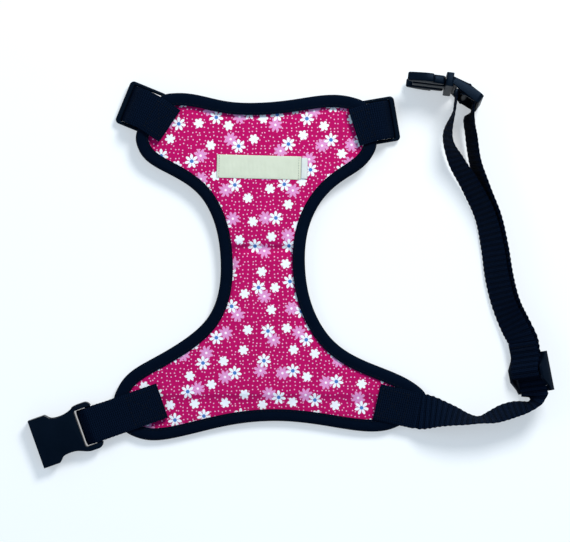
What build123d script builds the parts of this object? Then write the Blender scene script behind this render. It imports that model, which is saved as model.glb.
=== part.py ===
from build123d import *
import os
from math import cos, radians, sin, tan

# Adjustable no-pull dog harness, laid flat with its printed side up: a padded chest
# panel, a neck strap folded behind it, and a girth strap with a side-release buckle.
# Millimetres. +X to the panel's right, +Y to its neck edge, +Z up, floor at Z = 0.

os.makedirs("parts", exist_ok=True)

# ---------------------------------------------------------------- driving dimensions
webbing_width = 25.0
webbing_thick = 1.2
half_webbing = webbing_thick / 2
running_gap = 0.3
layer_gap = 0.05

lining_thick = 0.8
foam_thick = 3.4
shell_thick = 0.8
binding_cloth = 0.9
binding_width = 8.5
binding_gap = 0.3
corner_cut = 8.0

slider_length = 27.0
slider_rail = 2.4
slider_bar = 3.6
slider_thick = 3.2
slider_bar_radius = 1.5

socket_length = 44.0
socket_mouth_width = 34.2
socket_thick = 10.0
socket_end_thick = 6.6
socket_bar_radius = 2.0
cavity_width = 29.0
cavity_height = 6.8
cavity_depth = 27.5

frame_rail = 2.4
collar_lip = 0.5
collar_thick = 9.5
collar_length = 5.0
prong_length = 26.0
prong_thick = 6.0
prong_root_radius = 2.4
frame_thick = 4.4
frame_bar_radius = 2.5
plug_bend = 29.0
plug_lean = 9.0

ring_wire_radius = 1.6
ring_leg = 4.0
label_length = 57.5
label_height = 15.8
label_thick = 0.6
tag_length = 4.6
stitch_width = 0.8
stitch_height = 0.4

# The neck edge of the panel lies on the folded neck strap, so the panel slopes.
panel_tilt = 1.9
lowest_edge_y = -136.0
panel_lift = -lowest_edge_y * tan(radians(panel_tilt))

# The middle of the whole object in the drawing's own X and Y, which becomes the origin.
middle_x = 0.14
middle_y = 0.21

# ---------------------------------------------------------------- worked-out sizes
stack_thick = lining_thick + foam_thick + shell_thick
binding_height = stack_thick + 2 * binding_cloth
slot_width = webbing_width + 1.2
slider_width = slot_width + 2 * slider_rail
plug_width = slot_width + 2 * frame_rail
collar_width = plug_width + 2 * collar_lip
lower_layer = binding_height + half_webbing
upper_layer = lower_layer + webbing_thick + layer_gap
tab_top = upper_layer + half_webbing
shell_top = binding_cloth + stack_thick
slider_reach = slider_length / 2

# Outer edge of the panel, clockwise: neck edge, right side, belly edge, left side.
neck_edge = [
    (-88.5, 121.8), (-67, 121.2), (-45, 116.4), (-22, 115.1), (4, 117.6), (31.5, 120.6), (53.5, 116.6),
]
right_side = [
    (60.8, 84.5), (52, 73), (37, 62.5), (22.6, 49.4), (13.1, 30.5), (10.3, 3.5),
    (15.8, -25.3), (32.2, -50), (60, -65), (84, -76), (96.6, -85.6),
]
belly_edge = [
    (83.4, -101.9), (70, -108.2), (52, -110), (30, -107), (-7, -102.8),
    (-45, -106.4), (-78, -114.2), (-100, -115.6), (-115.2, -110.6),
]
left_side = [
    (-122.6, -87.5), (-113, -72.5), (-95, -60.3), (-71.2, -45.9), (-55, -30), (-48.5, -12),
    (-47.5, 8), (-51.4, 32.2), (-62, 52), (-84, 67), (-102, 80), (-107.5, 92),
]


def place(x, y, z=0.0):
    """A point of the drawing, moved so that the object's middle is the origin."""
    return Vector(x - middle_x, y - middle_y, z)


panel = Plane(
    origin=place(0, 0, panel_lift),
    x_dir=(1, 0, 0),
    z_dir=(0, -sin(radians(panel_tilt)), cos(radians(panel_tilt))),
)


def on_panel(x, y, turn=0.0, height=0.0):
    """A plane parallel to the panel, its X turned by an angle, above the panel's underside."""
    return Plane(panel.location * Location((x, y, height), (0, 0, turn)))


def across_panel(x, y, turn, height=0.0):
    """A plane square to the panel: its X runs along a strap and its Y points up."""
    return Plane(panel.location * Location((x, y, height), (0, 0, turn)) * Location((0, 0, 0), (90, 0, 0)))


def drawn_in(points, inset):
    """The corners of a closed clockwise outline, moved inward."""
    moved = []
    for i, point in enumerate(points):
        here = Vector(point)
        following = Vector(points[(i + 1) % len(points)])
        first = (here - Vector(points[i - 1])).normalized().rotate(Axis.Z, -90)
        second = (following - here).normalized().rotate(Axis.Z, -90)
        moved.append(here + (first + second) * (inset / (1 + first.dot(second))))
    return moved


def toward(start, end, distance):
    """A point on the way from one point to another."""
    return start + (end - start).normalized() * distance


def panel_face(inset=0.0):
    """The panel's outline as a face with rounded corners, drawn in by an inset."""
    sides = [neck_edge, right_side, belly_edge, left_side]
    corners = drawn_in(neck_edge + right_side + belly_edge + left_side, inset)
    cut = max(corner_cut - 0.7 * inset, 1.0)
    with BuildSketch(Plane.XY) as outline:
        with BuildLine():
            first = 0
            for side in sides:
                last = first + len(side) - 1
                after = corners[(last + 1) % len(corners)]
                beyond = corners[(last + 2) % len(corners)]
                side_start = toward(corners[first], corners[first + 1], cut)
                side_end = toward(corners[last], corners[last - 1], cut)
                end_start = toward(corners[last], after, cut)
                end_end = toward(after, corners[last], cut)
                Spline(side_start, *corners[first + 1:last], side_end)
                Bezier(side_end, corners[last], end_start)
                Line(end_start, end_end)
                Bezier(end_end, after, toward(after, beyond, cut))
                first = last + 1
        make_face()
    return outline.sketch


def webbing_profile(points, radii):
    """Webbing bent along a path of straight runs and arcs, seen from its edge."""
    with BuildSketch(Plane.XY) as profile:
        with BuildLine():
            FilletPolyline(*points, radius=radii)
        trace(line_width=webbing_thick)
    return profile.sketch


# ---------------------------------------------------------------- padded chest panel
with BuildPart() as mesh_lining:
    with BuildSketch(panel.offset(binding_cloth)):
        add(panel_face(binding_cloth + binding_gap))
    extrude(amount=lining_thick)

with BuildPart() as foam_padding:
    with BuildSketch(panel.offset(binding_cloth + lining_thick)):
        add(panel_face(binding_cloth + binding_gap))
    extrude(amount=foam_thick)

with BuildPart() as printed_shell:
    with BuildSketch(panel.offset(binding_cloth + lining_thick + foam_thick)):
        add(panel_face(binding_cloth + binding_gap))
    extrude(amount=shell_thick)

with BuildPart() as edge_binding:
    with BuildSketch(panel):
        add(panel_face())
    extrude(amount=binding_height)
    with BuildSketch(panel):
        add(panel_face(binding_width))
    extrude(amount=binding_height, mode=Mode.SUBTRACT)
    with BuildSketch(panel.offset(binding_cloth)):
        add(panel_face(binding_cloth))
    extrude(amount=stack_thick, mode=Mode.SUBTRACT)

# ---------------------------------------------------------------- blank sewn label
label_x = -21.2
label_y = 71.2
label_turn = -1.5
label_plane = on_panel(label_x, label_y, label_turn, shell_top)
stitch_pitch = 2.2
stitch_count = 6

with BuildPart() as label:
    with BuildSketch(label_plane):
        RectangleRounded(label_length, label_height, 0.6)
    extrude(amount=label_thick)

with BuildPart() as label_side_tag:
    with BuildSketch(label_plane):
        with Locations((label_length / 2 + layer_gap + tag_length / 2, 0)):
            Rectangle(tag_length, label_height - 1.5)
    extrude(amount=label_thick)

with BuildPart() as label_stitching:
    with BuildSketch(label_plane.offset(label_thick)):
        with GridLocations(label_length - 3.0, stitch_pitch, 2, stitch_count):
            Rectangle(0.5, stitch_pitch * 0.7)
    extrude(amount=stitch_height)

# ---------------------------------------------------------------- neck tabs and sliders
# A tab leaves its sewn inner end, goes over the panel's edge, round its slider's middle
# bar and back on top of the panel. The slider lies behind the panel's edge.
neck_tab_length = {"left": 37.0, "right": 30.5}
neck_tab_start = {"left": (-80.2, 102.4), "right": (43.3, 99.7)}
neck_tab_turn = {"left": 157.7, "right": 9.7}
slider_height = -3.55
tab_ring = slider_bar_radius + running_gap + half_webbing
tab_bulge = 6.7


def neck_tab(side):
    """One neck tab: two layers on the panel that part round the slider's middle bar."""
    bar = neck_tab_length[side] - slider_reach
    inner = bar - 1.3
    points = [
        (0, lower_layer), (inner, lower_layer), (inner, -0.6),
        (bar - tab_ring, slider_height + 0.4), (bar - tab_ring, slider_height - tab_ring),
        (bar + 5.2, slider_height - tab_ring), (bar + tab_bulge, 0.0),
        (bar + tab_bulge - 1.0, 5.2), (bar + 1.6, upper_layer), (0, upper_layer),
    ]
    radii = [1.3, 1.2, 1.2, 1.9, 3.0, 3.0, 3.0, 4.0]
    with BuildPart() as tab:
        with BuildSketch(across_panel(*neck_tab_start[side], neck_tab_turn[side])):
            add(webbing_profile(points, radii))
        extrude(amount=webbing_width / 2, both=True)
    return tab.part


def neck_slider_plane(side):
    """The middle plane of a neck slider, its X along the tab, away from the panel."""
    bar = neck_tab_length[side] - slider_reach
    turn = radians(neck_tab_turn[side])
    x, y = neck_tab_start[side]
    return on_panel(x + bar * cos(turn), y + bar * sin(turn), neck_tab_turn[side], slider_height)


def neck_slider(side):
    """A flat three-bar slider with a round middle bar."""
    plane = neck_slider_plane(side)
    with BuildPart() as slider:
        with BuildSketch(plane.offset(-slider_thick / 2)):
            RectangleRounded(slider_length, slider_width, 3.0)
            RectangleRounded(slider_length - 2 * slider_bar, slot_width, 0.5, mode=Mode.SUBTRACT)
        extrude(amount=slider_thick)
        fillet(slider.edges().group_by(Axis(plane.origin, plane.z_dir))[-1], radius=1.0)
        fillet(slider.edges().group_by(Axis(plane.origin, plane.z_dir))[0], radius=1.0)
        with BuildSketch(Plane(plane.origin, x_dir=plane.x_dir, z_dir=plane.y_dir)):
            Circle(slider_bar_radius)
        extrude(amount=slot_width / 2 + slider_rail / 2, both=True)
    return slider.part


neck_tab_left = neck_tab("left")
neck_tab_right = neck_tab("right")
neck_slider_left = neck_slider("left")
neck_slider_right = neck_slider("right")

# ---------------------------------------------------------------- neck strap and lead ring
# Heights in the folded neck strap count from its base, which lies on the floor.
strap_base = -6.85
strap_layer = 5.6
tail_layer = 4.35
loop_half_height = 2.65
loop_half_length = 2.7
ring_x = -19.0
ring_y = 86.0
ring_turn = -2.0
ring_height = 3.15
ring_droop = 6.0
keeper_width = 24.4
keeper_reach = 12.0
keeper_layer = 4.4


def neck_strap(side):
    """One half of the neck strap: a sewn loop on the slider's inner bar, then a run to the ring."""
    plane = neck_slider_plane(side)
    inner_bar = plane.origin - plane.x_dir * (slider_reach - slider_bar / 2)
    start = panel.to_local_coords(inner_bar)
    loop_turn = neck_tab_turn[side] + 180
    centre = slider_height - strap_base
    points = [
        (16, strap_layer), (5, strap_layer), (2, centre + loop_half_height),
        (-loop_half_length, centre + loop_half_height), (-loop_half_length, centre - loop_half_height),
        (3.0, centre - loop_half_height), (10.5, tail_layer), (28, tail_layer),
    ]
    run = Vector(ring_x - start.X, ring_y - start.Y)
    run_turn = Vector(1, 0).get_signed_angle(run, Vector(0, 0, 1))
    mitre = on_panel(ring_x, ring_y, ring_turn)
    cut = Plane(mitre.origin, x_dir=mitre.y_dir, z_dir=mitre.x_dir)
    with BuildPart() as strap:
        with BuildSketch(across_panel(start.X, start.Y, loop_turn, strap_base)):
            add(webbing_profile(points, [9, 5, 2.3, 2.3, 3, 5]))
        extrude(amount=webbing_width / 2, both=True)
        with BuildSketch(on_panel(start.X, start.Y, run_turn, strap_base + strap_layer - half_webbing)):
            with Locations((run.length / 2 + 8, 0)):
                Rectangle(run.length - 4, webbing_width)
        extrude(amount=webbing_thick)
        split(bisect_by=cut, keep=Keep.BOTTOM if side == "left" else Keep.TOP)
    return strap.part


neck_strap_left = neck_strap("left")
neck_strap_right = neck_strap("right")

with BuildPart() as ring_keeper:
    bar_layer = ring_wire_radius + running_gap + half_webbing
    keeper_path = [
        (-keeper_reach, keeper_layer), (-bar_layer - 0.4, keeper_layer),
        (-bar_layer, ring_height - bar_layer), (bar_layer, ring_height - bar_layer),
        (bar_layer + 0.4, keeper_layer), (keeper_reach, keeper_layer),
    ]
    with BuildSketch(across_panel(ring_x, ring_y, ring_turn, strap_base)):
        add(webbing_profile(keeper_path, [0.7, 2.2, 2.2, 0.7]))
    extrude(amount=keeper_width / 2, both=True)

ring_plane = Plane(
    on_panel(ring_x, ring_y, ring_turn, strap_base + ring_height).location * Location((0, 0, 0), (0, ring_droop, 0))
)
ring_half = webbing_width / 2 + running_gap + ring_wire_radius

with BuildPart() as lead_ring:
    with BuildLine(ring_plane):
        bar_line = Line((0, -ring_half), (0, ring_half))
        Line((0, ring_half), (ring_leg, ring_half))
        ThreePointArc((ring_leg, ring_half), (ring_leg + ring_half, 0), (ring_leg, -ring_half))
        Line((ring_leg, -ring_half), (0, -ring_half))
    with BuildSketch(Plane(ring_plane.origin, x_dir=ring_plane.x_dir, z_dir=ring_plane.y_dir)):
        Circle(ring_wire_radius)
    sweep(transition=Transition.RIGHT)

# ---------------------------------------------------------------- buckle tab and socket
socket_tab_start = (-87.5, -88.3)
socket_turn = 199.4
socket_bar_run = 49.8
socket_bar_from_mouth = 41.6
socket_height = 5.0
socket_ring = socket_bar_radius + running_gap + half_webbing
socket_window = 31.5

with BuildPart() as buckle_tab:
    right_of_bar = socket_bar_run + 3.6
    end_radius = (upper_layer - socket_height + socket_ring) / 2 - 0.175
    buckle_tab_path = [
        (0, lower_layer), (38, lower_layer), (45, socket_height - socket_ring),
        (right_of_bar, socket_height - socket_ring), (right_of_bar, upper_layer), (0, upper_layer),
    ]
    with BuildSketch(across_panel(*socket_tab_start, socket_turn)):
        add(webbing_profile(buckle_tab_path, [5.0, 5.0, end_radius, end_radius]))
    extrude(amount=webbing_width / 2, both=True)


def socket_point(run, across=0.0):
    """A place on the panel's plane, from the buckle tab's sewn end along and across it."""
    turn = radians(socket_turn)
    x, y = socket_tab_start
    return (x + run * cos(turn) - across * sin(turn), y + run * sin(turn) + across * cos(turn))


mouth_run = socket_bar_run + socket_bar_from_mouth
socket_plane = on_panel(*socket_point(mouth_run), socket_turn + 180, socket_height)

with BuildPart() as buckle_socket:
    half_mouth = socket_mouth_width / 2
    with BuildSketch(socket_plane.offset(-socket_thick / 2)):
        with BuildLine():
            Line((0, -half_mouth), (0, half_mouth))
            Line((0, half_mouth), (11.5, half_mouth))
            Spline(
                (11.5, half_mouth), (14.5, 14.2), (20, 12.9), (25.5, 13.4), (31, 15.6), (35, 16.6),
                tangents=((1, -0.6), (1, 0.1)),
            )
            Line((35, 16.6), (socket_length, 16.6))
            Line((socket_length, 16.6), (socket_length, -16.6))
            Line((socket_length, -16.6), (35, -16.6))
            Spline(
                (35, -16.6), (31, -15.6), (25.5, -13.4), (20, -12.9), (14.5, -14.2), (11.5, -half_mouth),
                tangents=((-1, 0.1), (-1, -0.6)),
            )
            Line((11.5, -half_mouth), (0, -half_mouth))
        make_face()
    extrude(amount=socket_thick)
    corners = buckle_socket.edges().filter_by(Axis(socket_plane.origin, socket_plane.z_dir))
    fillet(corners.group_by(Axis(socket_plane.origin, socket_plane.x_dir))[-1], radius=4.0)
    with BuildSketch(Plane(socket_plane.origin, x_dir=socket_plane.x_dir, z_dir=-socket_plane.y_dir)):
        with BuildLine():
            Polyline(
                (-1, -socket_thick / 2), (24, -socket_thick / 2), (socket_length + 1, -socket_end_thick / 2),
                (socket_length + 1, socket_end_thick / 2), (24, socket_thick / 2), (-1, socket_thick / 2),
                close=True,
            )
        make_face()
    extrude(amount=half_mouth + 1, both=True, mode=Mode.INTERSECT)
    with BuildSketch(Plane(socket_plane.origin, x_dir=socket_plane.y_dir, z_dir=socket_plane.x_dir)):
        RectangleRounded(cavity_width, cavity_height, 1.2)
    extrude(amount=cavity_depth, mode=Mode.SUBTRACT)
    with BuildSketch(socket_plane.offset(-socket_thick)):
        with Locations(((socket_window + socket_length + 4) / 2, 0)):
            RectangleRounded(socket_length + 4 - socket_window, slot_width, 1.5)
    extrude(amount=2 * socket_thick, mode=Mode.SUBTRACT)
    with BuildSketch(Plane(socket_plane.origin, x_dir=socket_plane.x_dir, z_dir=-socket_plane.y_dir)):
        with Locations((socket_bar_from_mouth, 0)):
            Circle(socket_bar_radius)
    extrude(amount=slot_width / 2 + 1.5, both=True)

# ---------------------------------------------------------------- girth strap
# Stations of the strap's middle line: x, y, z and the webbing's roll from flat. At 0 it
# lies flat, at 90 it stands on its left edge, seen along the strap from the panel.
girth_tab_start = (59.4, -89.2)
girth_turn = -13.0
girth_tab_length = 27.5
girth_slider_roll = 46.0
girth_slider_turn = 101.0
girth_slider_x = 164.2
girth_slider_y = -69.8
girth_slider_z = 13.55
sewn_end_run = 22.0
slider_exit = 15.0
sewn_end_layer = 2.8
sewn_tail_layer = 1.5

with BuildPart() as girth_tab:
    with BuildSketch(across_panel(*girth_tab_start, girth_turn)):
        with Locations((girth_tab_length / 2, lower_layer)):
            Rectangle(girth_tab_length, webbing_thick)
    extrude(amount=webbing_width / 2, both=True)


def rolled(direction, roll):
    """The across-the-webbing direction of a strap that runs along a direction."""
    right = direction.cross(Vector(0, 0, 1)).normalized()
    lifted = right.cross(direction).normalized()
    return right * cos(radians(roll)) + lifted * sin(radians(roll))


def strap_planes(stations, first=None, last=None):
    """Section planes of a twisted strap, each square to the line through its neighbours."""
    points = [place(x, y, z) for x, y, z, roll in stations]
    planes = []
    for i, (x, y, z, roll) in enumerate(stations):
        before = points[max(i - 1, 0)]
        after = points[min(i + 1, len(points) - 1)]
        if i == 0 and first:
            before = first.origin
        if i == len(points) - 1 and last:
            after = last.origin
        direction = (after - before).normalized()
        planes.append(Plane(points[i], x_dir=rolled(direction, roll), z_dir=direction))
    return ([first] if first else []) + planes + ([last] if last else [])


slider_along = Vector(cos(radians(girth_slider_turn)), sin(radians(girth_slider_turn)), 0)
slider_across = rolled(slider_along, girth_slider_roll)
slider_up = slider_across.cross(slider_along)
girth_slider_plane = Plane(
    place(girth_slider_x, girth_slider_y, girth_slider_z), x_dir=slider_along, z_dir=slider_up
)


def slider_section(run, layer):
    """A section plane of a strap that runs straight through the girth slider."""
    origin = girth_slider_plane.from_local_coords(Vector(run, 0, layer))
    return Plane(origin, x_dir=slider_across, z_dir=slider_along)


tab_end = across_panel(*girth_tab_start, girth_turn).from_local_coords(Vector(girth_tab_length, lower_layer, 0))
tab_along = across_panel(*girth_tab_start, girth_turn).x_dir
tab_across = -across_panel(*girth_tab_start, girth_turn).z_dir
seam_section = Plane(tab_end, x_dir=-tab_across, z_dir=tab_along)

lower_stations = [
    (94.5, -96.8, lower_layer + 1.8, -2), (103, -98.2, lower_layer + 1.9, 20), (112, -99.6, 10.6, 46),
    (121, -101.2, 12.2, 68), (129.5, -101.6, 12.7, 82), (137.5, -99.8, 12.6, 76), (146, -96.8, 12.5, 71),
    (154, -94.6, 12.6, 72), (160.5, -93.2, 12.8, 76), (164.6, -91.9, 12.9, 79), (166.8, -90.0, 13.0, 77),
    (167.7, -87.6, 13.2, 68),
]

with BuildPart() as girth_strap_lower:
    for section in strap_planes(lower_stations, seam_section, slider_section(-slider_exit, 0)):
        with BuildSketch(section):
            Rectangle(webbing_width, webbing_thick)
    loft(ruled=True)

# ---------------------------------------------------------------- girth slider
end_bar_top = -half_webbing - running_gap
end_bar_bottom = end_bar_top - 2.4
raised_bar_radius = 1.3
raised_bar_height = half_webbing + running_gap + webbing_thick + running_gap + raised_bar_radius
raised_top = raised_bar_height + raised_bar_radius

with BuildPart() as girth_slider:
    with BuildSketch(Plane(girth_slider_plane.origin, x_dir=slider_along, z_dir=-girth_slider_plane.y_dir)):
        with BuildLine():
            Polyline(
                (-slider_reach, end_bar_bottom), (slider_reach, end_bar_bottom), (slider_reach, end_bar_top),
                (10.0, 0.6), (4.2, raised_top), (-4.2, raised_top), (-10.0, 0.6), (-slider_reach, end_bar_top),
                close=True,
            )
        make_face()
    extrude(amount=slider_width / 2, both=True)
    with BuildSketch(girth_slider_plane.offset(-10)):
        Rectangle(slider_length - 2 * slider_bar, slot_width)
    extrude(amount=20, mode=Mode.SUBTRACT)
    with BuildSketch(girth_slider_plane.offset(end_bar_top)):
        Rectangle(slider_length + 2, slot_width)
    extrude(amount=10, mode=Mode.SUBTRACT)
    with BuildSketch(Plane(girth_slider_plane.origin, x_dir=slider_along, z_dir=-girth_slider_plane.y_dir)):
        with Locations((0, raised_bar_height)):
            Circle(raised_bar_radius)
    extrude(amount=slot_width / 2 + slider_rail / 2, both=True)

# ---------------------------------------------------------------- plug of the buckle
plug_x = 110.5
plug_y = 127.0
arm_turn = 173.1
arm_along = Vector(cos(radians(arm_turn)), sin(radians(arm_turn)), 0)
arm_side = Vector(sin(radians(arm_turn)), -cos(radians(arm_turn)), 0)
plug_across = arm_side * sin(radians(plug_lean)) + Vector(0, 0, cos(radians(plug_lean)))
plug_z = collar_width / 2 * cos(radians(plug_lean)) + collar_thick / 2 * sin(radians(plug_lean)) + 0.05
arm_plane = Plane(place(plug_x, plug_y, plug_z), x_dir=arm_along, z_dir=arm_along.cross(plug_across))
frame_along = (-arm_along).rotate(Axis((0, 0, 0), plug_across), -plug_bend)
frame_plane = Plane(arm_plane.origin, x_dir=frame_along, z_dir=frame_along.cross(plug_across))

frame_length = 23.0
frame_end_bar = 3.0
frame_window = 1.5
frame_bar_run = 11.0
guide_half = 3.2
prong_middle = 9.9
prong_root = collar_length + running_gap + prong_root_radius


def prong_face(side):
    """Outline of one springy prong: round root, straight shank, barb and blunt tip."""
    with BuildSketch(Plane.XY) as outline:
        with BuildLine():
            Polyline(
                (prong_root, side * 7.5), (collar_length + prong_length - 2, side * 7.5),
                (collar_length + prong_length, side * 9.2), (collar_length + prong_length, side * 11.6),
                (26, side * 13.4), (19.5, side * 15.0), (13.2, side * 15.2), (13.2, side * 12.3),
                (prong_root, side * 12.3), close=True,
            )
        make_face()
        with Locations((prong_root, side * prong_middle)):
            Circle(prong_root_radius)
    return outline.sketch


with BuildPart() as buckle_plug:
    with BuildSketch(arm_plane.offset(-collar_thick / 2)):
        with Locations((collar_length / 2, 0)):
            RectangleRounded(collar_length, collar_width, 1.2)
    extrude(amount=collar_thick)
    with BuildSketch(arm_plane.offset(-prong_thick / 2 + 0.2)):
        with Locations((collar_length + 10, 0)):
            Rectangle(24, 2 * guide_half)
    extrude(amount=prong_thick - 0.4)
    with BuildSketch(frame_plane.offset(-frame_thick / 2)):
        with Locations((frame_length / 2 - 1, 0)):
            RectangleRounded(frame_length + 2, plug_width, 3.0)
    extrude(amount=frame_thick)
    with BuildSketch(frame_plane.offset(-collar_thick)):
        with Locations(((frame_window + frame_length - frame_end_bar) / 2 + 1, 0)):
            Rectangle(frame_length - frame_end_bar - frame_window - 2, slot_width)
    extrude(amount=2 * collar_thick, mode=Mode.SUBTRACT)
    with BuildSketch(Plane(frame_plane.origin, x_dir=frame_along, z_dir=-frame_plane.y_dir)):
        with Locations((frame_bar_run, 0)):
            Circle(frame_bar_radius)
    extrude(amount=slot_width / 2 + 1.5, both=True)

with BuildPart() as plug_prong_upper:
    with BuildSketch(arm_plane.offset(-prong_thick / 2)):
        add(prong_face(1))
    extrude(amount=prong_thick)

with BuildPart() as plug_prong_lower:
    with BuildSketch(arm_plane.offset(-prong_thick / 2)):
        add(prong_face(-1))
    extrude(amount=prong_thick)

# ---------------------------------------------------------------- strap loop on the plug
loop_radius = 6.0
leg_length = 8.0
leg_turn = -97.0
bar_centre = frame_plane.from_local_coords(Vector(frame_bar_run, 0, 0))
leg_flat = Vector(cos(radians(leg_turn)), sin(radians(leg_turn)), 0)
leg_along = (leg_flat - plug_across * leg_flat.dot(plug_across)).normalized()
loop_side = plug_across.cross(leg_along).normalized()
bar_in_loop = loop_radius - half_webbing - running_gap - frame_bar_radius
loop_centre = bar_centre + leg_along * bar_in_loop
loop_plane = Plane(loop_centre, x_dir=loop_side, z_dir=loop_side.cross(-leg_along))

with BuildPart() as girth_strap_plug_loop:
    plug_loop_path = [
        (-loop_radius, -leg_length), (-loop_radius, loop_radius),
        (loop_radius, loop_radius), (loop_radius, -leg_length),
    ]
    with BuildSketch(loop_plane):
        add(webbing_profile(plug_loop_path, [loop_radius - 0.1, loop_radius - 0.1]))
    extrude(amount=webbing_width / 2, both=True)


def leg_section(side):
    """Section plane at the end of one leg of the loop on the plug, seen up the strap."""
    origin = loop_centre + loop_side * (side * loop_radius) + leg_along * leg_length
    return Plane(origin, x_dir=plug_across, z_dir=-leg_along)


rising_stations = [
    (155.6, -38.0, 11.3, 47), (149.6, -24.0, 11.2, 52), (144.6, -4.0, 11.2, 53), (141.4, 17.0, 11.4, 55),
    (137.6, 38.0, 11.8, 58), (131.4, 58.0, 12.6, 63), (125.4, 75.0, 14.2, 71), (123.2, 92.0, 16.4, 79),
]
return_stations = [
    (152.0, -36.4, 12.6, 47), (146.0, -23.0, 12.6, 52), (141.2, -4.0, 12.3, 53), (138.0, 17.0, 12.2, 55),
    (133.4, 37.0, 12.3, 58), (123.4, 58.0, 12.6, 62), (113.0, 76.0, 14.0, 68), (107.6, 91.0, 16.2, 77),
]
right_leg = 1 if loop_side.X > 0 else -1

with BuildPart() as girth_strap_rising:
    with BuildSketch(slider_section(-slider_exit, 0)):
        Rectangle(webbing_width, webbing_thick)
    for section in strap_planes(rising_stations, slider_section(sewn_end_run, 0), leg_section(right_leg)):
        with BuildSketch(section):
            Rectangle(webbing_width, webbing_thick)
    loft(ruled=True)

with BuildPart() as girth_strap_return:
    sewn_section = slider_section(sewn_end_run, sewn_end_layer)
    for section in strap_planes(return_stations, sewn_section, leg_section(-right_leg)):
        with BuildSketch(section):
            Rectangle(webbing_width, webbing_thick)
    loft(ruled=True)

with BuildPart() as girth_end_loop:
    ring = raised_bar_radius + running_gap + half_webbing
    end_loop_path = [
        (sewn_end_run - 2, sewn_tail_layer), (-ring - 0.4, sewn_tail_layer),
        (-ring - 0.4, raised_bar_height + ring), (3.4, raised_bar_height + ring),
        (10.5, sewn_end_layer), (sewn_end_run, sewn_end_layer),
    ]
    with BuildSketch(Plane(girth_slider_plane.origin, x_dir=slider_along, z_dir=-girth_slider_plane.y_dir)):
        add(webbing_profile(end_loop_path, [2.1, 2.1, 4.0, 5.0]))
    extrude(amount=webbing_width / 2, both=True)

# ---------------------------------------------------------------- box and bar stitching


def box_stitch(plane, length, width):
    """A sewn box with a cross in it, raised a little from the webbing."""
    with BuildPart() as stitches:
        with BuildSketch(plane):
            Rectangle(length, width)
            Rectangle(length - 2 * stitch_width, width - 2 * stitch_width, mode=Mode.SUBTRACT)
            for sign in (1, -1):
                with BuildLine():
                    Line(
                        (-length / 2 + stitch_width, -sign * (width / 2 - stitch_width)),
                        (length / 2 - stitch_width, sign * (width / 2 - stitch_width)),
                    )
                trace(line_width=stitch_width)
        extrude(amount=stitch_height)
    return stitches.part


def along(start, turn, run):
    """A place that a run reaches from a start, at an angle."""
    return (start[0] + run * cos(radians(turn)), start[1] + run * sin(radians(turn)))


def tab_stitching(start, turn, length, height):
    """Box stitching in the middle of a tab's sewn end."""
    x, y = along(start, turn, length / 2 + 2.5)
    return box_stitch(on_panel(x, y, turn, height), length, webbing_width - 6)


neck_tab_left_stitching = tab_stitching(neck_tab_start["left"], neck_tab_turn["left"], 13, tab_top)
neck_tab_right_stitching = tab_stitching(neck_tab_start["right"], neck_tab_turn["right"], 10, tab_top)
buckle_tab_stitching = tab_stitching(socket_tab_start, socket_turn, 20, tab_top)
girth_tab_stitching = tab_stitching(girth_tab_start, girth_turn, 18, lower_layer + half_webbing)

with BuildPart() as girth_end_stitching:
    tack = girth_slider_plane.offset(sewn_end_layer + half_webbing)
    with BuildSketch(tack):
        with Locations((sewn_end_run - 5, 0)):
            Rectangle(1.6, webbing_width - 5)
    extrude(amount=stitch_height)

with BuildPart() as neck_strap_stitching:
    with BuildSketch(on_panel(ring_x, ring_y, ring_turn, strap_base + strap_layer + half_webbing)):
        with GridLocations(2 * (keeper_reach - 3), 0, 2, 1):
            Rectangle(1.6, webbing_width - 5)
    extrude(amount=stitch_height)

# ---------------------------------------------------------------- labels and STEP files
finished = {
    "mesh_lining": mesh_lining.part,
    "foam_padding": foam_padding.part,
    "printed_shell": printed_shell.part,
    "edge_binding": edge_binding.part,
    "label": label.part,
    "label_side_tag": label_side_tag.part,
    "label_stitching": label_stitching.part,
    "neck_tab_left": neck_tab_left,
    "neck_tab_right": neck_tab_right,
    "neck_slider_left": neck_slider_left,
    "neck_slider_right": neck_slider_right,
    "neck_strap_left": neck_strap_left,
    "neck_strap_right": neck_strap_right,
    "ring_keeper": ring_keeper.part,
    "lead_ring": lead_ring.part,
    "buckle_tab": buckle_tab.part,
    "buckle_socket": buckle_socket.part,
    "girth_tab": girth_tab.part,
    "girth_strap_lower": girth_strap_lower.part,
    "girth_slider": girth_slider.part,
    "girth_strap_rising": girth_strap_rising.part,
    "girth_strap_return": girth_strap_return.part,
    "girth_end_loop": girth_end_loop.part,
    "girth_strap_plug_loop": girth_strap_plug_loop.part,
    "buckle_plug": buckle_plug.part,
    "plug_prong_upper": plug_prong_upper.part,
    "plug_prong_lower": plug_prong_lower.part,
    "neck_tab_left_stitching": neck_tab_left_stitching,
    "neck_tab_right_stitching": neck_tab_right_stitching,
    "buckle_tab_stitching": buckle_tab_stitching,
    "girth_tab_stitching": girth_tab_stitching,
    "girth_end_stitching": girth_end_stitching.part,
    "neck_strap_stitching": neck_strap_stitching.part,
}

for name, piece in finished.items():
    piece.label = name
    export_step(piece, f"parts/{name}.step")
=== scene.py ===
import math
import random

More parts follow.
